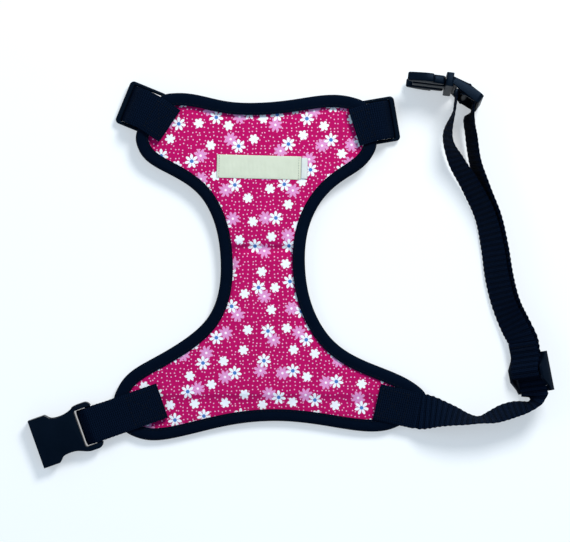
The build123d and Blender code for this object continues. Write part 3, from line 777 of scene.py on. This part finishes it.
def label_cloth(name, light, dark):
    """Satin-woven label with fine threads and soft wear."""
    cloth = Finish(name, light, 0.6, Sheen_Weight=0.2, Specular_IOR_Level=0.4)
    run, across, _ = cloth.parts(cloth.own_map())
    warp = cloth.sine(across * (2000 * math.pi / 0.7))
    weft = cloth.sine(run * (2000 * math.pi / 0.9))
    threads = warp * 0.5 + weft * 0.3
    cloudy = cloth.noise(cloth.object_place(), 160.0, 4.0)
    cloth.feed("Base Color", cloth.blend(cloth.between(threads * 0.2 + cloudy, 0.2, 0.9), dark, light))
    cloth.relief(threads + cloudy * 1.5, 0.00012, 0.7)
    return cloth.material


def moulded_plastic():
    """Satin acetal with a fine spark grain and faint flow marks."""
    plastic = Finish(
        "moulded_acetal", shade(2, 8, 16), 0.4, Specular_IOR_Level=0.08, Specular_Tint=BLUE_SHINE
    )
    place = plastic.object_place()
    flow = plastic.noise(place, 70.0, 4.0)
    grain = plastic.noise(place, 2600.0, 2.0)
    plastic.feed("Base Color", plastic.blend(flow, shade(1, 6, 13), shade(5, 13, 26)))
    plastic.feed("Roughness", plastic.between(flow * 0.6 + grain * 0.4, 0.3, 0.52))
    plastic.relief(grain + flow * 0.5, 0.00006, 0.6)
    return plastic.material


def plated_steel():
    """Nickel-plated wire with fine draw lines and dull patches."""
    steel = Finish("nickel_wire", shade(196, 196, 200), 0.22, Metallic=1.0)
    place = steel.object_place()
    dull = steel.noise(place, 240.0, 4.0)
    steel.feed("Roughness", steel.between(dull, 0.14, 0.4))
    steel.feed("Base Color", steel.blend(dull, shade(168, 168, 174), shade(208, 207, 210)))
    steel.relief(steel.noise(place, 1500.0), 0.00003, 0.5)
    return steel.material


def sewing_thread(name, dark, light):
    """Bonded thread, a little lighter where it is rubbed."""
    thread = Finish(name, dark, 0.7, Specular_IOR_Level=0.1)
    twist = thread.noise(thread.object_place(), 1800.0, 2.0)
    thread.feed("Base Color", thread.blend(twist, dark, light))
    thread.relief(twist, 0.0001, 0.6)
    return thread.material


finishes = {
    "print": printed_cloth(),
    "webbing": strap_cloth("sewn_webbing", shade(1, 5, 14), shade(9, 20, 38), 1.4, 1.56, 0.0),
    "loose webbing": strap_cloth("ribbed_webbing", shade(1, 5, 14), shade(9, 20, 38), 1.2, 1.56, 0.6),
    "binding": binding_cloth(),
    "lining": lining_cloth(),
    "label": label_cloth("woven_label", shade(214, 218, 197), shade(194, 199, 176)),
    "tag": label_cloth("folded_tag", shade(226, 228, 222), shade(190, 196, 192)),
    "plastic": moulded_plastic(),
    "steel": plated_steel(),
    "black thread": sewing_thread("black_thread", shade(1, 5, 12), shade(6, 14, 28)),
    "pale thread": sewing_thread("pale_thread", shade(140, 150, 132), shade(170, 178, 160)),
}
stitches_tree = stitch_tree()


def dress(piece, finish, body, slot, *nodes):
    """Gives a finished piece its material and body, and hides the CAD nodes that it stands for; its slot is
    not used.
    """
    if finish:
        piece.data.materials.clear()
        piece.data.materials.append(finishes[finish])
    if body:
        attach(piece, body)
    if nodes:
        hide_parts(*nodes)
    return piece


# ------------------------------------------------------------------ panel, binding and label
pad = make_pad()
pad.data.materials.clear()
pad.data.materials.append(finishes["print"])
pad.data.materials.append(finishes["lining"])
for polygon in pad.data.polygons:
    polygon.material_index = 0 if polygon.normal.z > 0 else 1
dress(pad, None, "panel", "printed_cloth", "mesh_lining", "foam_padding", "printed_shell")

binding = dress(make_binding(), "binding", "panel", "binding_cloth", "edge_binding")

LABEL_PLACE, LABEL_TURN = (-21.2, 71.2), -1.5
label_ends = [(-28.75, 6.15), (-20, 6.22), (-8, 6.1), (5, 6.25), (18, 6.12), (28.75, 6.15)]
label_line = across_panel_path(LABEL_PLACE, LABEL_TURN, rounded(label_ends, [30] * 4))
label = woven_strap("blank_label", *label_line, width=15.8, thick=0.45, scallop=0.0, sway=0.05)
dress(label, "label", "panel", "label_cloth", "label")

tag_path = rounded([(28.9, 6.1), (33.1, 6.1), (33.1, 6.6), (28.9, 6.6)], [0.24, 0.24])
tag_line = across_panel_path(LABEL_PLACE, LABEL_TURN, tag_path)
tag = woven_strap("folded_side_tag", *tag_line, width=14.3, thick=0.32, scallop=0.0, sway=0.0)
dress(tag, "tag", "panel", "tag_cloth", "label_side_tag")

# ------------------------------------------------------------------ tabs on the panel
for side in ("left", "right"):
    start, turn, length = TABS["neck_tab_" + side]
    bar = length - SLIDER_REACH
    path = rounded(
        [
            (0, LOWER_LAYER), (bar - 1.3, LOWER_LAYER), (bar - 1.3, -0.6),
            (bar - 2.4, NECK_SLIDER_HEIGHT + 0.4), (bar - 2.4, NECK_SLIDER_HEIGHT - 2.4),
            (bar + 10.4, NECK_SLIDER_HEIGHT - 2.4), (bar + 7.4, 0.6), (bar + 5.9, 5.2),
            (bar + 1.6, UPPER_LAYER), (0, UPPER_LAYER),
        ],
        [1.3, 1.2, 1.2, 1.9, 0.8, 3.0, 3.0, 4.0],
    )
    tab_line = skewed_tab_path(start, turn, bar, NECK_SKEW[side], path)
    tab = woven_strap("neck_tab_" + side + "_webbing", *tab_line, width=26.1, scallop=0.0, sway=0.0)
    dress(tab, "webbing", "panel", "webbing", "neck_tab_" + side)

start, turn, bar = TABS["buckle_tab"]
path = rounded(
    [
        (0, LOWER_LAYER), (38, LOWER_LAYER), (45, 2.1), (bar + 10.9, 2.1), (bar + 5.6, 6.0),
        (bar + 2.2, UPPER_LAYER), (0, UPPER_LAYER),
    ],
    [5.0, 5.0, 1.2, 3.0, 3.0],
)
tab = woven_strap("buckle_tab_webbing", *across_panel_path(start, turn, path), sway=0.0)
dress(tab, "webbing", "panel", "webbing", "buckle_tab")

start, turn, length = TABS["girth_tab"]
tab_line = across_panel_path(start, turn, [(0, LOWER_LAYER), (length, LOWER_LAYER)])
tab = woven_strap("girth_tab_webbing", *tab_line, sway=0.0)
dress(tab, "webbing", "panel", "webbing", "girth_tab")

# ------------------------------------------------------------------ neck strap, keeper and ring
for side in ("left", "right"):
    start, turn, length = TABS["neck_tab_" + side]
    reach = length - SLIDER_REACH - SLIDER_BARS_APART
    bar = np.array(start) + reach * np.array([math.cos(math.radians(turn)), math.sin(math.radians(turn))])
    middle = NECK_SLIDER_HEIGHT - STRAP_BASE
    path = rounded(
        [
            (28, 4.35), (10.5, 4.35), (3.0, middle - 2.65), (-2.7, middle - 2.65), (-2.7, middle + 2.65),
            (2, middle + 2.65), (5, 5.6), (16, 5.6),
        ],
        [5, 3, 2.3, 2.3, 5, 9],
    )
    centres, rights = across_panel_path(bar, turn + 180, path, STRAP_BASE)
    half_gap = 0.2 if side == "right" else -0.2
    end = from_panel([(RING_PLACE[0] + half_gap, RING_PLACE[1], STRAP_BASE + 5.6)])[0]
    ring_side = panel_way(math.cos(math.radians(RING_TURN + 90)), math.sin(math.radians(RING_TURN + 90)))
    ring_side = ring_side if ring_side @ rights[0] > 0 else -ring_side
    share = np.linspace(0.15, 1.0, 12)[:, None]
    run_on = centres[-1] + (end - centres[-1]) * share
    turned = rights[-1] + (ring_side - rights[-1]) * share
    line = np.concatenate([centres, run_on]), np.concatenate([rights, turned])
    strap = woven_strap("neck_strap_" + side + "_webbing", *line, sway=0.0)
    dress(strap, "webbing", None, "webbing", "neck_strap_" + side)
    near, far = from_panel([(*(bar - (bar - np.array(RING_PLACE)) * 0.35), 0), (*bar, 0)])
    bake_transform(strap)

keeper_path = rounded(
    [(-12, 4.4), (-2.9, 4.4), (-2.5, 0.65), (2.5, 0.65), (2.9, 4.4), (12, 4.4)],
    [0.7, 2.2, 2.2, 0.7],
)
keeper_line = across_panel_path(RING_PLACE, RING_TURN, keeper_path, STRAP_BASE)
keeper = woven_strap("ring_keeper_webbing", *keeper_line, width=24.4, sway=0.0)
dress(keeper, "webbing", "panel", "webbing", "ring_keeper")

# ------------------------------------------------------------------ girth strap
slider_way = heading(101.0)
slider_across = rolled(slider_way, 46.0)
slider_up = np.cross(slider_across, slider_way)
slider_place = np.array([164.2, -69.8, 13.55]) - MIDDLE


def through_slider(run, layer):
    """A place on a line straight through the girth slider, at a height over its lower bars."""
    return slider_place + slider_way * run + slider_up * layer


arm_way = heading(173.1)
arm_side = np.cross(arm_way, UP)
plug_lean = math.radians(9.0)
plug_across = arm_side * math.sin(plug_lean) + UP * math.cos(plug_lean)
plug_place = np.array([110.5, 127.0, 16.0 * math.cos(plug_lean) + 4.75 * math.sin(plug_lean) + 0.05]) - MIDDLE


def turned_about(vector, axis, degrees):
    angle = math.radians(degrees)
    spun = vector * math.cos(angle) + np.cross(axis, vector) * math.sin(angle)
    return spun + axis * (axis @ vector) * (1 - math.cos(angle))


frame_way = turned_about(-arm_way, plug_across, -29.0)
leg_flat = heading(-97.0)
leg_way = unit(leg_flat - plug_across * (leg_flat @ plug_across))
leg_side = unit(np.cross(plug_across, leg_way))
if leg_side[0] < 0:
    leg_side = -leg_side
loop_middle = plug_place + frame_way * 11.0 + leg_way * 2.6


def strap_rows(stations, before=None, after=None):
    """Stations (x, y, z, roll) as middle places and across directions, with fixed ends."""
    places = [np.array(s[:3]) - MIDDLE for s in stations]
    rows = []
    for i, station in enumerate(stations):
        back = places[i - 1] if i else (before[0] if before else places[0])
        onward = places[i + 1] if i + 1 < len(places) else (after[0] if after else places[-1])
        rows.append(np.concatenate([places[i], rolled(unit(onward - back), station[3])]))
    ends = [np.concatenate(end) for end in (before, after) if end]
    return np.array(([ends[0]] if before else []) + rows + ([ends[-1]] if after else []))


tab_start, tab_turn, tab_length = TABS["girth_tab"]
seam_line = across_panel_path(tab_start, tab_turn, [(tab_length, LOWER_LAYER)])
LOWER_STATIONS = [
    (90.5, -96.1, 9.9, 6), (97, -96.6, 9.9, 28), (104.5, -97.8, 10.4, 47), (113, -99.4, 11.4, 61),
    (121.5, -101.2, 12.3, 74), (129.5, -101.6, 12.7, 82), (137.5, -99.8, 12.6, 73), (146, -96.6, 12.5, 66),
    (154, -94.2, 12.6, 67), (160.5, -93.0, 12.8, 73), (164.6, -91.9, 12.9, 79), (166.8, -90.0, 13.0, 77),
    (167.7, -87.6, 13.2, 68),
]
RISING_STATIONS = [
    (155.6, -38.0, 11.3, 47), (149.6, -24.0, 11.2, 52), (144.6, -4.0, 11.2, 53), (141.4, 17.0, 11.4, 55),
    (137.6, 38.0, 12.2, 62), (131.4, 58.0, 13.4, 70), (126.2, 75.0, 14.8, 74), (123.6, 92.0, 16.2, 75),
    (122.4, 104.0, 16.8, 77),
]
RETURN_STATIONS = [
    (152.0, -36.4, 12.6, 47), (146.0, -23.0, 12.6, 52), (141.2, -4.0, 12.3, 53), (138.0, 17.0, 12.2, 55),
    (133.4, 37.0, 12.3, 58), (123.4, 58.0, 12.6, 62), (113.0, 76.0, 14.0, 68), (107.6, 91.0, 16.2, 77),
]
seam_end = (seam_line[0][0], seam_line[1][0])
lower = strap_rows(LOWER_STATIONS, seam_end, (through_slider(-15, 0), slider_across))
rising = strap_rows(
    RISING_STATIONS,
    (through_slider(25, -0.05), slider_across),
    (loop_middle + leg_side * LEG_HALF_GAP + leg_way * 8, plug_across),
)
rising[1:3, :3] -= slider_up * 0.5
through = [np.concatenate([through_slider(run, 0), slider_across]) for run in (-13, -6, 0, 6, 14)]
girth_rows = eased(np.concatenate([lower, through, rising]), 1.5)
girth = woven_strap("girth_strap_webbing", girth_rows[:, :3], girth_rows[:, 3:], scallop=0.3, rib=3.7)
dress(girth, "loose webbing", None, "webbing", "girth_strap_lower", "girth_strap_rising")
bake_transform(girth)

arc = [math.pi * k / 14 for k in range(15)]
bend = [loop_middle + LEG_HALF_GAP * (math.cos(a) * leg_side - math.sin(a) * leg_way) for a in arc]
right_run = [loop_middle + leg_side * LEG_HALF_GAP + leg_way * r for r in (8, 5, 2)]
left_run = [loop_middle - leg_side * LEG_HALF_GAP + leg_way * r for r in (2, 5)]
loop_rows = right_run + bend + left_run
loop_rows = np.array([np.concatenate([p, plug_across]) for p in loop_rows])
back = strap_rows(
    RETURN_STATIONS,
    (through_slider(22, 2.8), slider_across),
    (loop_middle - leg_side * LEG_HALF_GAP + leg_way * 8, plug_across),
)
return_rows = np.concatenate([loop_rows, eased(back, 1.5)[::-1]])
returning = woven_strap(
    "girth_strap_return_webbing", return_rows[:, :3], return_rows[:, 3:],
    thick=1.1, scallop=0.3, sway=0.05, rib=3.7,
)
dress(returning, "loose webbing", None, "webbing", "girth_strap_return", "girth_strap_plug_loop")
tuple((loop_middle + leg_way * 12) * 0.001)
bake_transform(returning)

end_path = rounded(
    [(20, 1.5), (-2.6, 1.5), (-2.6, 5.9), (3.4, 5.9), (10.5, 2.8), (22, 2.8)],
    [2.1, 2.1, 4.0, 5.0],
)
end_centres = np.array([through_slider(run, layer) for run, layer in end_path])
end_across = np.tile(slider_across, (len(end_centres), 1))
end_loop = woven_strap("girth_end_loop_webbing", end_centres, end_across, sway=0.0)
dress(end_loop, "loose webbing", "girth_slider", "webbing", "girth_end_loop")

# ------------------------------------------------------------------ stitching
rows = []
for depth, height in ((7.1, 6.62), (7.1, 0.2)):
    line = inner_line(depth)
    line = from_panel([(x, y, height) for x, y in np.concatenate([line, line[:1]])])
    rows.append(line)
tab_boxes = {"neck_tab_left": (2.5, 15.5), "neck_tab_right": (2.5, 12.5), "buckle_tab": (2.5, 22.5)}
for tab_name, (near, far) in tab_boxes.items():
    start, turn, length = TABS[tab_name]
    skew = NECK_SKEW.get(tab_name[9:], 0.0)
    bar = length - SLIDER_REACH if "neck" in tab_name else length
    rows += box_rows(start, turn, bar, skew, near, far, TAB_TOP)
start, turn, length = TABS["girth_tab"]
rows += box_rows(start, turn, length, 0.0, 2.5, 20.5, LOWER_LAYER + 0.6)
panel_stitches = sewn("panel_stitches", rows, finishes["black thread"])
dress(
    panel_stitches, None, "panel", "black_thread",
    "neck_tab_left_stitching", "neck_tab_right_stitching", "buckle_tab_stitching", "girth_tab_stitching",
)



def cross_row(place, turn, run, half, height):
    """The two ends of a seam across a narrow piece, a run from the piece's middle."""
    cos, sin = math.cos(math.radians(turn)), math.sin(math.radians(turn))
    ends = [(place[0] + run * cos - c * sin, place[1] + run * sin + c * cos) for c in (-half, half)]
    return from_panel([(*end, height) for end in ends])


label_rows = [cross_row(LABEL_PLACE, LABEL_TURN, run, 6.9, 6.42) for run in (-27.2, 27.2)]
label_stitches = sewn(
    "label_stitches", label_rows, finishes["pale thread"], Pitch=0.0017, Stitch=0.0013, Thread=0.00022
)
dress(label_stitches, None, "panel", "label_thread", "label_stitching")

keeper_rows = [cross_row(RING_PLACE, RING_TURN, run, 10, STRAP_BASE + 3.75) for run in (-9.0, 9.0)]
keeper_stitches = sewn("keeper_stitches", keeper_rows, finishes["black thread"], Pitch=0.0016, Stitch=0.0014)
dress(keeper_stitches, None, "panel", "black_thread", "neck_strap_stitching")

end_rows = []
for run in (17.0, 19.0):
    place = through_slider(run, 3.42)
    end_rows.append(np.array([place - slider_across * 10.5, place + slider_across * 10.5]))
end_stitches = sewn("girth_end_stitches", end_rows, finishes["black thread"], Pitch=0.0016, Stitch=0.0014)
dress(end_stitches, None, "girth_slider", "black_thread", "girth_end_stitching")

# ------------------------------------------------------------------ moulded and metal parts


def thick_cheeks(mould):
    """Makes the two sides of the plug's strap frame as deep as its collar, tapering to the end."""
    deep = np.cross(frame_way, plug_across)
    origin = plug_place * 0.001
    for side in (-1, 1):
        cut = Vector(origin + plug_across * side * 0.0129)
        geometry = mould.verts[:] + mould.edges[:] + mould.faces[:]
        bmesh.ops.bisect_plane(mould, geom=geometry, plane_co=cut, plane_no=Vector(plug_across))
    for vertex in mould.verts:
        place = np.array(vertex.co) - origin
        along, across = place @ frame_way, abs(place @ plug_across)
        if along > 0.0045 and across > 0.01295 and place @ arm_way < -0.0005:
            share = 0.95 - 0.5 * np.clip((along - 0.008) / 0.015, 0, 1)
            vertex.co += Vector(deep * (place @ deep) * share)


def softened(node, width, body, reshape=None):
    """A copy of a hard part with its sharp edges rounded as a mould leaves them."""
    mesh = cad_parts[node].data.copy()
    piece = bpy.data.objects.new(node + "_moulding", mesh)
    bpy.context.scene.collection.objects.link(piece)
    clean = bmesh.new()
    clean.from_mesh(mesh)
    bmesh.ops.remove_doubles(clean, verts=clean.verts, dist=2e-6)
    bmesh.ops.dissolve_limit(
        clean, angle_limit=math.radians(1.0), verts=clean.verts, edges=clean.edges,
        use_dissolve_boundaries=False,
    )
    if reshape:
        reshape(clean)
    clean.to_mesh(mesh)
    clean.free()
    bevel = piece.modifiers.new("rounded_edges", "BEVEL")
    bevel.width = width * 0.001
    bevel.segments = 3
    bevel.limit_method = "ANGLE"
    bevel.angle_limit = math.radians(32)
    bevel.harden_normals = False
    applied(piece)
    piece.data.shade_smooth()
    piece.data.set_sharp_from_angle(angle=math.radians(38))
    return dress(piece, "plastic", body, "buckle_plastic", node)


softened("buckle_socket", 0.7, "socket")
softened("buckle_plug", 0.5, "plug", thick_cheeks)
softened("plug_prong_upper", 1.2, "prong_upper")
softened("plug_prong_lower", 1.2, "prong_lower")
softened("girth_slider", 0.4, "girth_slider")
for node in ("neck_slider_left", "neck_slider_right"):
    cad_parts[node].data.materials.clear()
    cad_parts[node].data.materials.append(finishes["plastic"])
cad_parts["lead_ring"].data.materials.clear()
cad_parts["lead_ring"].data.materials.append(finishes["steel"])

# ------------------------------------------------------------------ floor, light and camera
floor_mesh = bpy.data.meshes.new("floor")
floor_mesh.from_pydata([(-3, -3, 0), (3, -3, 0), (3, 3, 0), (-3, 3, 0)], [], [(0, 1, 2, 3)])
floor = bpy.data.objects.new("floor", floor_mesh)
bpy.context.scene.collection.objects.link(floor)
paper = Finish("white_paper", (0.90, 0.955, 1.0), 0.9, Specular_IOR_Level=0.1)
ray = paper.nodes.new("ShaderNodeLightPath")
seen = Wire(paper, ray.outputs["Is Camera Ray"])
for kind in ("Is Glossy Ray", "Is Transmission Ray"):
    seen = paper.sum("MAXIMUM", seen, Wire(paper, ray.outputs[kind]))
glow = paper.add("ShaderNodeEmission", None, {"Color": (1, 1, 1, 1), "Strength": 1.0})
mixer = paper.nodes.new("ShaderNodeMixShader")
paper.links.new((seen * 0.42).socket, mixer.inputs[0])
paper.links.new(paper.surface.outputs[0], mixer.inputs[1])
paper.links.new(glow.socket, mixer.inputs[2])
paper.links.new(mixer.outputs[0], paper.nodes["Material Output"].inputs["Surface"])
floor_mesh.materials.append(paper.material)

world = bpy.data.worlds.new("studio")
world.use_nodes = True
bpy.context.scene.world = world
sky = world.node_tree
fill = sky.nodes["Background"]
fill.inputs["Color"].default_value = (0.52, 0.77, 1.0, 1)
fill.inputs["Strength"].default_value = 0.55
backdrop = sky.nodes.new("ShaderNodeBackground")
backdrop.inputs["Color"].default_value = (1, 1, 1, 1)
backdrop.inputs["Strength"].default_value = 1.0
chooser = sky.nodes.new("ShaderNodeMixShader")
path = sky.nodes.new("ShaderNodeLightPath")
sky.links.new(path.outputs["Is Camera Ray"], chooser.inputs[0])
sky.links.new(fill.outputs[0], chooser.inputs[1])
sky.links.new(backdrop.outputs[0], chooser.inputs[2])
sky.links.new(chooser.outputs[0], sky.nodes["World Output"].inputs["Surface"])


def soft_lamp(name, place, size, power, color):
    lamp = bpy.data.lights.new(name, "AREA")
    lamp.shape = "DISK"
    lamp.size = size
    lamp.energy = power
    lamp.color = color
    light = bpy.data.objects.new(name, lamp)
    light.location = place
    light.rotation_euler = (Vector((0, 0, 0)) - Vector(place)).to_track_quat("-Z", "Y").to_euler()
    bpy.context.scene.collection.objects.link(light)


soft_lamp("window_light", (0.55, 0.95, 1.15), 0.55, 25.0, (1.0, 0.965, 0.92))
soft_lamp("side_light", (-0.9, 0.2, 1.0), 0.6, 2.5, (0.93, 0.97, 1.0))

camera = bpy.data.cameras.new("overhead")
camera.sensor_width = 36.0
camera.lens = 36.0 * 2000 / 390.45
eye = bpy.data.objects.new("overhead", camera)
eye.location = ((-3.4 - 0.14) * 0.001, -0.21 * 0.001, 2.006)
bpy.context.scene.collection.objects.link(eye)
bpy.context.scene.camera = eye
bpy.context.scene.view_settings.view_transform = "Standard"
